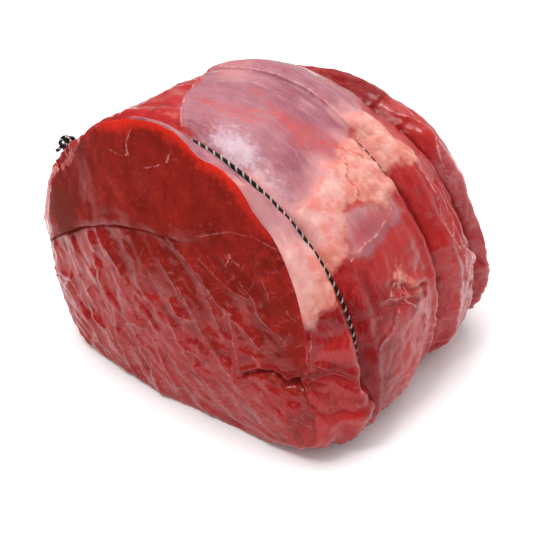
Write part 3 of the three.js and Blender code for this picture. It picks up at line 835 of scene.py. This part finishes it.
# What the meat is made of, each with its ground colour and the layers over it. A layer has its paint, how
# much of it there is at most, the values at which it starts and is complete, the value that it is laid by,
# and the patterns that break up its edge, each with its reach. Each tissue is a paint for the later ones.
TISSUES = {
    # Lean muscle on the wall: dark where it is bare and wet, and pink where its film is milky. In places both
    # are painted light: shade on the low part of the second lobe, and a pale sheen where the film runs
    # highest.
    "muscle": ("lean", [
        ("lean_dark_and_shade", 1.0, 0.0, -0.9, "milky_sheen_and_shade"),
        ("lean_milky_sheen", 0.4, 0.3, 0.9, "milky_sheen_and_shade"),
        # Painted sheen, where the film runs highest.
        ("skin_warm", 0.6, 0.8, 1.6, "milky_sheen_and_shade"),
        ("lean_dark_and_shade", 0.5, 0.48, 0.32, "bands"),
        ("lean_pale", 0.3, 0.56, 0.75, "bands"),
        ("lean_pale", 0.35, 0.55, 0.75, "fibres"),
    ]),
    # Silverskin: a mauve film, milky where it is thick and red where it is thin, warmer beside fat, with a
    # painted highlight along the edge of the second lobe.
    "silverskin": ("skin_dark", [
        ("skin", 0.8, 0.3, 0.6, "cloud"),
        ("skin_dark", 0.5, 0.52, 0.35, "bands"),
        ("bare", 0.4, 0.5, 0.75, "patch"),
        ("skin_pale", 0.3, 0.5, 0.8, "fibres"),
        ("skin_pale", 0.35, 0.012, 0.0, "wisps"),
        # Painted highlight, nearly white.
        ("silver_highlight", 0.75, -6.0, 4.0, "silver_highlight", ("edge", 3.0), ("grain", 3.0)),
        ("skin_warm", 0.5, -4.0, 4.0, "blush", ("patch", 3.0)),
        ("skin_warm", 0.8, -9.0, -1.0, "fat", ("bands", 3.0)),
        ("bare", 0.75, -4.0, 5.0, "bare", ("bands", 6.0)),
    ]),
    # Fat: matt and pale, warmer and deeper in its hollows, and mauve where a film runs over it.
    "fat_cap": ("fat", [
        ("fat_warm", 1.0, -3.0, 2.0, "warm", ("edge", 2.5)),
        ("fat_deep", 0.65, 0.48, 0.66, "patch"),
        ("fat_pale", 0.5, 0.5, 0.3, "patch"),
        ("fat_deep", 0.35, 0.58, 0.75, "pits"),
        ("fat_deep", 0.45, 0.1, 0.9, "lobule"),
        ("fat_deep", 0.8, 4.0, -1.0, "fat", ("edge", 3.5)),
        ("skin", 0.75, -8.0, 8.0, "cool", ("bands", 5.0)),
    ]),
    # The cut face is a deeper red than the wall, under a broken milky film. Its crests, steps and fine
    # wrinkles get painted highlights, and its thin rim a painted glow, as of light shining through it,
    # brightest at the top.
    "rim_light": ("rim_low", [
        # Painted glow of light through the rim, brighter towards the top.
        ("rim", 1.0, 0.0, 1.0, "height"),
    ]),
    "cut_face": ("face_dark", [
        ("face", 1.0, 0.25, 0.6, "cloud"),
        ("face_red", 0.8, -0.6, 0.1, "sharp"),
        ("face_warm", 0.6, 0.5, 0.66, "patch"),
        ("face_dark", 0.6, 0.48, 0.36, "bands"),
        ("lean_pale", 0.25, 0.56, 0.76, "grain"),
        ("face_dark", 0.35, 0.5, 0.3, "pits"),
        ("face_dark", 0.45, 0.52, 0.36, "fibres"),
        # Painted highlights on the fine wrinkles, the steps and the crests of the pleats.
        ("crest", 0.22, 0.0, 1.0, "wrinkle_highlight"),
        ("crest", 0.3, 0.35, 0.7, "step"),
        ("face_brown", 0.8, -2.0, 3.0, "brown", ("edge", 3.0)),
        # Painted glow along the rim.
        ("rim_light", 0.9, -1.5, 4.5, "fringe", ("cloud", 2.0), ("grain", 2.0)),
        ("crest", 0.33, 0.0, 1.0, "crest_highlight_line"),
    ]),
    # All together, with a pale line along the edges that hang over the ties, partly membrane and partly
    # painted highlight, painted shade in the creases and hollows, threads and veins.
    "meat": ("muscle", [
        ("silverskin", 0.93, -2.5, 1.8, "skin", ("edge", 1.0)),
        ("fat_cap", 0.96, -1.6, 1.6, "fat", ("edge", 2.0)),
        ("lean", 0.8, 0.15, 0.8, "crack"),
        ("fat_pale", 0.8, 0.2, 0.4, "bright"),
        # A pale line along the hanging edges: partly membrane, partly painted highlight.
        ("thread", 0.4, 0.0, 1.0, "lip_membrane_and_highlight"),
        ("cut_face", 1.0, -0.15, 0.2, "inside", ("edge", 0.5)),
        # Painted shade in the creases, folds and hollows.
        ("lean_dark_and_shade", 0.85, 0.2, 0.9, "crease_shade"),
        ("thread", 0.6, 0.0, 1.0, "thread_line"),
        ("vein", 0.6, 0.0, 1.0, "vein_line"),
    ]),
}


def laid_over(tree, under, paint, where, low, high, most):
    """One colour over another: none of it where a value is at low, and as much as most at high."""
    inputs = {"Value": where, "From Min": low, "From Max": high, "To Max": most}
    share = node(tree, "ShaderNodeMapRange", inputs, interpolation_type="SMOOTHSTEP").outputs[0]
    return node(tree, "ShaderNodeMix", {0: share, 6: under, 7: paint}, data_type="RGBA").outputs[2]


def pushed(tree, value, pattern, reach):
    """A value pushed up and down by a pattern, by about reach."""
    push = node(tree, "ShaderNodeMath", {0: pattern, 1: 4 * reach, 2: -2 * reach}, operation="MULTIPLY_ADD")
    return node(tree, "ShaderNodeMath", {0: push.outputs[0], 1: value}, operation="ADD").outputs[0]


def line_share(tree, sideways, present, pattern, width):
    """How much of a thin, broken line there is: its width in mm comes and goes with a pattern."""
    away = node(tree, "ShaderNodeMath", {0: sideways}, operation="ABSOLUTE").outputs[0]
    inputs = {0: pattern, 1: 4 * width, 2: -1.5 * width}
    ragged = node(tree, "ShaderNodeMath", inputs, operation="MULTIPLY_ADD").outputs[0]
    inside = node(tree, "ShaderNodeMath", {0: ragged, 1: away}, operation="SUBTRACT").outputs[0]
    inputs = {"Value": inside, "From Min": -0.2, "From Max": 0.5}
    share = node(tree, "ShaderNodeMapRange", inputs, interpolation_type="SMOOTHSTEP").outputs[0]
    return node(tree, "ShaderNodeMath", {0: share, 1: present}, operation="MULTIPLY").outputs[0]


def meat_values(tree):
    """All the values that the colours, the relief and the wetness of the meat are read from, by name."""
    values = {name: node(tree, "ShaderNodeAttribute", attribute_name=name).outputs["Fac"] for name in KEPT}
    even = node(tree, "ShaderNodeTexCoord").outputs["Object"]
    values["z"] = node(tree, "ShaderNodeSeparateXYZ", {"Vector": even}).outputs["Z"]
    # Fibres run round the roll, and along the pleats on the face, by squeezed places that the mesh keeps.
    along = node(tree, "ShaderNodeAttribute", attribute_name="along").outputs["Vector"]
    places = {"even": even, "along": along}
    for name, (where, size, detail, roughness) in PATTERNS.items():
        inputs = {"Vector": places[where], "Scale": per_metre(size), "Detail": detail, "Roughness": roughness}
        values[name] = node(tree, "ShaderNodeTexNoise", inputs).outputs["Fac"]
    values["sharp"] = pushed(tree, values["film"], values["grain"], 0.3)
    # How milky the film looks; on the wall it also gives painted shade where low and painted sheen where
    # highest.
    values["milky_sheen_and_shade"] = pushed(tree, values["sharp"], values["patch"], 0.2)
    values["crease_shade"] = pushed(tree, values["hollow"], values["edge"], 0.2)
    for name, (sideways, present, width) in LINES.items():
        values[name] = line_share(tree, values[sideways], values[present], values["grain"], width)
    for name, done, *given in WORKED:
        given = [values.get(item, item) for item in given]
        if done == "RANGE":
            made = node(tree, "ShaderNodeMapRange", zip(RANGE_INPUTS, given))
        else:
            made = node(tree, "ShaderNodeMath", enumerate(given), operation=done)
        values[name] = made.outputs[0]
    return values


def meat_material(settings):
    """Raw beef as it is cut: lean muscle with fat and silverskin, all under a smooth film of its own juice.

    Light goes a little way in, so the red looks deep and soft. The film gives it small, sharp highlights."""
    material, tree, shader = new_material("raw beef, wet")
    paint = {name: getattr(settings, name) for name in settings.__annotations__}
    values = meat_values(tree)
    for tissue, (ground, layers) in TISSUES.items():
        colour = paint[ground]
        for name, most, low, high, where, *patterns in layers:
            value = values[where]
            for pattern, reach in patterns:
                value = pushed(tree, value, values[pattern], reach)
            colour = laid_over(tree, colour, paint[name], value, low, high, most)
        paint[tissue] = colour
    inputs = {"Strength": 0.9, "Distance": MM, "Height": values["relief"]}
    bump = node(tree, "ShaderNodeBump", inputs).outputs[0]
    inputs = {0: values["wet"], 1: values["dry"]}
    wet = node(tree, "ShaderNodeMath", inputs, operation="ADD", use_clamp=True).outputs[0]
    fill(tree, shader, {
        "Base Color": paint["meat"],
        "Roughness": 0.55,
        "Specular IOR Level": 0.05,
        "Normal": bump,
        "Coat Weight": wet,
        "Coat Roughness": 0.07,
        "Coat IOR": 1.34,
        "Coat Normal": bump,
        "Subsurface Weight": 0.25,
        "Subsurface Radius": (1.0, 0.25, 0.15),
        "Subsurface Scale": 3 * MM,
    })
    return material


def yarn_material(name, colour):
    """Cotton yarn: matt, so the twine looks dry beside the wet meat, with short fibres across it.

    Cotton fibres are about 0.02 mm thick, too fine to show, so they are drawn as tufts of 0.35 mm."""
    material, tree, shader = new_material(name)
    place = node(tree, "ShaderNodeTexCoord").outputs["Object"]
    inputs = {"Vector": place, "Scale": per_metre(0.35), "Detail": 3.0}
    fibres = node(tree, "ShaderNodeTexNoise", inputs).outputs["Fac"]
    inputs = {"Value": fibres, "From Min": 0.3, "From Max": 0.7, "To Min": 0.5, "To Max": 1.25}
    shade = node(tree, "ShaderNodeMapRange", inputs).outputs[0]
    tinted = node(tree, "ShaderNodeVectorMath", {0: colour[:3], "Scale": shade}, operation="SCALE").outputs[0]
    bump = node(tree, "ShaderNodeBump", {"Strength": 0.6, "Distance": 0.15 * MM, "Height": fibres}).outputs[0]
    fill(tree, shader, {"Base Color": tinted, "Normal": bump, "Roughness": 0.7, "Specular IOR Level": 0.25})
    return material


# ---------------------------------------------------------------- the twine


YARNS = 4


def loop_line(name, step):
    """The middle of a tie's loop, as even steps."""
    a, b, c = tie_plane(name)
    turns = np.arange(0, 360, 2.0)
    reaches = np.interp(turns, *tie_radius(name), period=360)
    reaches -= SINK * grip_at(name, (turns - SEAM_ANGLE) % 360 + SEAM_ANGLE)[2]
    reaches += KNOT_LIFT * bell(turns - KNOT_ANGLE, 9)
    x = AXIS_X + reaches * np.cos(np.radians(turns))
    z = AXIS_Z + reaches * np.sin(np.radians(turns))
    line = np.column_stack([x, a + b * x + c * z, z]) * MM
    line = np.vstack([line, line[:1]])
    lengths = np.append(0, np.cumsum(np.linalg.norm(np.diff(line, axis=0), axis=1)))
    even = np.linspace(0, lengths[-1], round(lengths[-1] / step), endpoint=False)
    return np.column_stack([np.interp(even, lengths, line[:, i]) for i in range(3)])


def knot_line(line, size):
    """The twine of a knot: a tight ball of crossing turns on the outside of the loop, and two short ends."""
    angles = np.degrees(np.arctan2(line[:, 2] - AXIS_Z * MM, line[:, 0] - AXIS_X * MM))
    nearest = np.argmin(np.abs(angles - KNOT_ANGLE))
    along = line[(nearest + 2) % len(line)] - line[nearest - 2]
    along /= np.linalg.norm(along)
    out = line[nearest] - np.array([AXIS_X * MM, line[nearest][1], AXIS_Z * MM])
    out -= along * (out @ along)
    out /= np.linalg.norm(out)
    side = np.cross(out, along)
    turns = np.linspace(0, 2 * math.pi, 110)[:-3]
    curl = np.column_stack([
        0.9 * size * (np.sin(turns) + 1.6 * np.sin(2 * turns)),
        size * (np.cos(turns) - 1.6 * np.cos(2 * turns)),
        -1.1 * size * np.sin(3 * turns),
    ])
    first_end = curl[0] + np.linspace(7.5, 0.4, 16)[:, None] * MM * (0.1, 0.85, 0.4)
    last_end = curl[-1] + np.linspace(0.4, 4, 10)[:, None] * MM * (-0.1, 0.9, 0.3)
    middle = line[nearest] + out * 2.7 * size
    return middle + np.vstack([first_end, curl, last_end]) @ np.array([out, along, side])


def plies(line, closed, settings):
    """Yarns twisted round a line, as one mesh each, the last of them pale."""
    count = len(line)
    ahead = np.roll(line, -1, 0) - np.roll(line, 1, 0) if closed else np.gradient(line, axis=0)
    ahead /= np.linalg.norm(ahead, axis=1, keepdims=True)
    first = np.cross(ahead, (0, 1, 0.01))
    first /= np.linalg.norm(first, axis=1, keepdims=True)
    second = np.cross(ahead, first)
    gone = np.append(0, np.cumsum(np.linalg.norm(np.diff(line, axis=0), axis=1)))
    turns = round(gone[-1] / settings.twist) if closed else gone[-1] / settings.twist
    phase = math.tau * turns * gone / (gone[-1] * (1 + closed / count))
    # Four round yarns that touch fill a circle 1 + the root of 2 times as wide as one of them.
    yarn = settings.thickness / 2 / (1 + math.sqrt(2)) * 1.08
    reach = settings.thickness / 2 - yarn
    meshes = []
    for number in range(YARNS):
        turn = phase + number * math.tau / YARNS
        path = line + reach * (np.cos(turn)[:, None] * first + np.sin(turn)[:, None] * second)
        curve = bpy.data.curves.new("yarn", "CURVE")
        curve.dimensions = "3D"
        curve.bevel_depth = yarn
        curve.bevel_resolution = 1
        curve.use_fill_caps = True
        spline = curve.splines.new("POLY")
        spline.points.add(count - 1)
        spline.points.foreach_set("co", np.column_stack([path, np.ones(count)]).ravel())
        spline.use_cyclic_u = closed
        holder = bpy.data.objects.new("yarn", curve)
        bpy.context.scene.collection.objects.link(holder)
        mesh = finished(holder)
        bpy.data.objects.remove(holder)
        mesh.polygons.foreach_set("material_index", [int(number == YARNS - 1)] * len(mesh.polygons))
        meshes.append(mesh)
    return meshes


def tie_mesh(name, settings):
    """One length of twine: its loop and its knot."""
    line = loop_line(name, TWINE_STEP * MM)
    bm = bmesh.new()
    for mesh in plies(line, True, settings) + plies(knot_line(line, KNOT_SIZE * MM), False, settings):
        bm.from_mesh(mesh)
        bpy.data.meshes.remove(mesh)
    mesh = bpy.data.meshes.new(name)
    bm.to_mesh(mesh)
    bm.free()
    return mesh


# ---------------------------------------------------------------- settings


def colour_setting(name, code, description):
    """A colour of the panel, from sRGB hex."""
    return FloatVectorProperty(
        name=name, description=description, subtype="COLOR", size=4, min=0, max=1, default=(*linear(code), 1)
    )


class MeatSettings(bpy.types.PropertyGroup):
    pleats: FloatProperty(
        name="Relief of the face", description="Depth of the pleats and the crease", default=1, min=0, max=2
    )
    lean: colour_setting("Lean", "#9e201f", "Lean meat on the wall of the roll")
    # Dark lean, also used as painted shade in the creases and on the low part of the second lobe.
    lean_dark_and_shade: colour_setting("Dark lean", "#740c10", "Where it is bare and wet")
    # Also a painted sheen, where the film runs high.
    lean_milky_sheen: colour_setting("Milky lean", "#965359", "Where its film is thick")
    lean_pale: colour_setting("Pale grain", "#bd5a52", "Its paler grain")
    face: colour_setting("Face", "#7d1911", "Lean meat of the cut face")
    face_dark: colour_setting("Dark face", "#64120b", "Its darker patches")
    face_warm: colour_setting("Warm face", "#8e2217", "Its warmer patches")
    face_red: colour_setting("Wet face", "#961312", "Where its film of juice is thick and clear")
    face_brown: colour_setting("Brown face", "#5c1e12", "Where the air has darkened it")
    # The rim colours are painted light: a glow through the thin edge, brighter at the top and darker lower
    # down.
    rim: colour_setting("Rim", "#c02213", "The thin edge of the face, which lets light through")
    rim_low: colour_setting("Low rim", "#a01e1a", "The rim lower down, where it is thicker")
    # Painted highlights on the crests, steps and fine wrinkles of the face, not a colour of the meat.
    crest: colour_setting("Crests", "#b0686c", "The crests of the pleats")
    skin: colour_setting("Silverskin", "#946069", "Where it is thick")
    skin_dark: colour_setting("Thin silverskin", "#7f4150", "Where the lean shows through")
    skin_pale: colour_setting("Silver fibres", "#ab878f", "The pale fibres in it")
    # A painted highlight on the silverskin, not a colour of its own.
    silver_highlight: colour_setting("Silver", "#c4b0ba", "Its thickest edge, which is nearly white")
    # Also the painted sheen where the film on the lean runs highest.
    skin_warm: colour_setting("Warm silverskin", "#b98080", "Where it runs over fat")
    bare: colour_setting("Bare lean", "#993a3e", "Lean with hardly any silverskin over it")
    fat: colour_setting("Fat", "#ca928c", "Fat, where it is cool")
    fat_warm: colour_setting("Warm fat", "#ca8d80", "Fat, where it is warm")
    fat_deep: colour_setting("Deep fat", "#c4685a", "The hollows of the fat, where red shows through")
    fat_pale: colour_setting("Pale fat", "#d8b0a4", "Its palest places")
    # Also used for the pale line along the hanging edges of the lobes, which is partly painted highlight.
    thread: colour_setting("Threads", "#c68f88", "Thin threads of membrane and marbling")
    vein: colour_setting("Veins", "#b83424", "Fine red lines in the fat and the silverskin")


class TwineSettings(bpy.types.PropertyGroup):
    thickness: FloatProperty(
        name="Thickness", description="Thickness of the twine", unit="LENGTH",
        default=1.8 * MM, min=MM, max=4 * MM,
    )
    twist: FloatProperty(
        name="Twist", description="Length of one turn of its yarns", unit="LENGTH",
        default=3.8 * MM, min=2 * MM, max=20 * MM,
    )
    dark: colour_setting("Dark yarn", "#0b0a0c", "Three of its four yarns")
    pale: colour_setting("Pale yarn", "#b3a698", "The fourth yarn")


class StageSettings(bpy.types.PropertyGroup):
    floor: colour_setting("Floor", "#f2f1f2", "The floor that the joint lies on")
    light: FloatProperty(
        name="Light", description="Power of the soft light above", default=9.5, min=0, unit="POWER"
    )


# ---------------------------------------------------------------- operators


class JOINT_OT_meat(bpy.types.Operator):
    """Add the meat, with its relief and its colours"""

    bl_idname = "joint.meat"
    bl_label = "Meat"

    def execute(self, context):
        settings = context.scene.joint_meat
        piece = show("joint_meat", meat_mesh(settings))
        piece.data.materials.append(meat_material(settings))
        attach(piece, "root")
        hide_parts("meat")
        return {"FINISHED"}


class JOINT_OT_twine(bpy.types.Operator):
    """Add the three loops of twine, with their knots"""

    bl_idname = "joint.twine"
    bl_label = "Twine"

    def execute(self, context):
        settings = context.scene.joint_twine
        colours = {"black cotton yarn": settings.dark, "undyed cotton yarn": settings.pale}
        yarns = [yarn_material(name, colour) for name, colour in colours.items()]
        for name in TIES:
            piece = show(name.replace("tie", "twine"), tie_mesh(name, settings))
            for yarn in yarns:
                piece.data.materials.append(yarn)
            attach(piece, "root")
            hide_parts(name)
        return {"FINISHED"}


# The camera: where it looks, in metres, its bearing from -Y towards +X, its height above the floor in
# degrees, its distance, and its focal length and shift for a square picture.
CAMERA_TARGET = (0.00336, -0.00769, 0.050)
CAMERA_BEARING, CAMERA_HEIGHT, CAMERA_DISTANCE = 38.0, 35.0, 1.0
CAMERA_LENS, CAMERA_SENSOR = 158.7, 36.0
CAMERA_SHIFT = (-0.0103, -0.0441)


def set_camera():
    """Looks at the joint from above its right side."""
    bearing, height = math.radians(CAMERA_BEARING), math.radians(CAMERA_HEIGHT)
    level = math.cos(height)
    back = Vector((math.sin(bearing) * level, -math.cos(bearing) * level, math.sin(height)))
    camera = bpy.data.objects.new("camera", bpy.data.cameras.new("camera"))
    camera.location = Vector(CAMERA_TARGET) + back * CAMERA_DISTANCE
    camera.rotation_euler = back.to_track_quat("Z", "Y").to_euler()
    camera.data.lens, camera.data.sensor_width = CAMERA_LENS, CAMERA_SENSOR
    camera.data.shift_x, camera.data.shift_y = CAMERA_SHIFT
    camera.data.clip_start = 0.01
    bpy.context.scene.collection.objects.link(camera)
    bpy.context.scene.camera = camera


def add_light(name, place, aim, size, power):
    """A soft square light that looks at a place."""
    light = bpy.data.lights.new(name, "AREA")
    light.size, light.energy = size, power
    holder = bpy.data.objects.new(name, light)
    holder.location = place
    holder.rotation_euler = (Vector(place) - Vector(aim)).to_track_quat("Z", "Y").to_euler()
    bpy.context.scene.collection.objects.link(holder)


def white_world():
    """A white room to the eye, which lights the joint mostly from above."""
    world = bpy.data.worlds.new("white room")
    world.use_nodes = True
    tree = world.node_tree
    direction = node(tree, "ShaderNodeTexCoord").outputs["Generated"]
    up = node(tree, "ShaderNodeSeparateXYZ", {"Vector": direction}).outputs["Z"]
    rays = node(tree, "ShaderNodeLightPath").outputs
    inputs = {"Value": up, "From Min": 0.25, "From Max": 0.9, "To Min": 0.02, "To Max": 0.8}
    above = node(tree, "ShaderNodeMapRange", inputs).outputs[0]
    # The wall of the room behind the joint is white, so edges that turn away from the camera mirror it.
    behind = node(tree, "ShaderNodeVectorMath", {0: direction, 1: (0.35, 0.94, 0.0)}, operation="DOT_PRODUCT")
    inputs = {"Value": behind.outputs["Value"], "From Min": 0.1, "From Max": 0.6, "To Max": 0.85}
    behind = node(tree, "ShaderNodeMapRange", inputs).outputs[0]
    mirrored = node(tree, "ShaderNodeMath", {0: above, 1: behind}, operation="MAXIMUM").outputs[0]
    inputs = {"Value": up, "From Min": 0.0, "From Max": 0.9, "To Min": 0.72, "To Max": 1.15}
    lighting = node(tree, "ShaderNodeMapRange", inputs).outputs[0]
    strength = node(tree, "ShaderNodeMix", {0: rays["Is Glossy Ray"], 2: lighting, 3: mirrored}).outputs[0]
    strength = node(tree, "ShaderNodeMix", {0: rays["Is Camera Ray"], 2: strength, 3: 1.0}).outputs[0]
    tree.links.new(strength, tree.nodes["Background"].inputs["Strength"])
    tree.nodes["Background"].inputs["Color"].default_value = (1, 1, 1, 1)
    bpy.context.scene.world = world


class JOINT_OT_stage(bpy.types.Operator):
    """Add the pale floor, the soft lights and the camera"""

    bl_idname = "joint.stage"
    bl_label = "Stage"

    FLOOR_RADIUS = 0.36

    def execute(self, context):
        settings = context.scene.joint_stage
        bm = bmesh.new()
        bmesh.ops.create_circle(bm, cap_ends=True, segments=96, radius=self.FLOOR_RADIUS)
        mesh = bpy.data.meshes.new("floor")
        bm.to_mesh(mesh)
        bm.free()
        floor = show("floor", mesh)
        # White card is matt, so all that shows on it is the joint's soft shadow.
        material, _, shader = new_material("matt white card")
        shader.inputs["Base Color"].default_value = settings.floor
        shader.inputs["Roughness"].default_value = 0.7
        floor.data.materials.append(material)
        add_light("wide top light", (-0.25, 0.2, 1.0), (0, 0, 0.05), 1.1, settings.light)
        add_light("small top light", (0.06, -0.55, 0.95), (0, 0, 0.07), 0.28, settings.light * 0.45)
        white_world()
        set_camera()
        context.scene.view_settings.view_transform = "Standard"
        return {"FINISHED"}


class JOINT_PT_panel(bpy.types.Panel):
    """Lists the pieces of the joint and their settings"""

    bl_label = "Beef Joint"
    bl_idname = "JOINT_PT_panel"
    bl_space_type = "VIEW_3D"
    bl_region_type = "UI"
    bl_category = "Beef Joint"

    def draw(self, context):
        for operator, group in zip(OPERATORS, SETTINGS):
            box = self.layout.box()
            box.operator(operator.bl_idname)
            settings = getattr(context.scene, group)
            for name in settings.__annotations__:
                box.prop(settings, name)


OPERATORS = (JOINT_OT_meat, JOINT_OT_twine, JOINT_OT_stage)
SETTINGS = {"joint_meat": MeatSettings, "joint_twine": TwineSettings, "joint_stage": StageSettings}
CLASSES = (*SETTINGS.values(), *OPERATORS, JOINT_PT_panel)


def register():
    for kind in CLASSES:
        bpy.utils.register_class(kind)
    for name, kind in SETTINGS.items():
        setattr(bpy.types.Scene, name, PointerProperty(type=kind))


def unregister():
    for name in SETTINGS:
        delattr(bpy.types.Scene, name)
    for kind in reversed(CLASSES):
        bpy.utils.unregister_class(kind)


def main():
    register()
    bpy.ops.joint.meat()
    bpy.ops.joint.twine()
    bpy.ops.joint.stage()


if __name__ == "__main__":
    main()
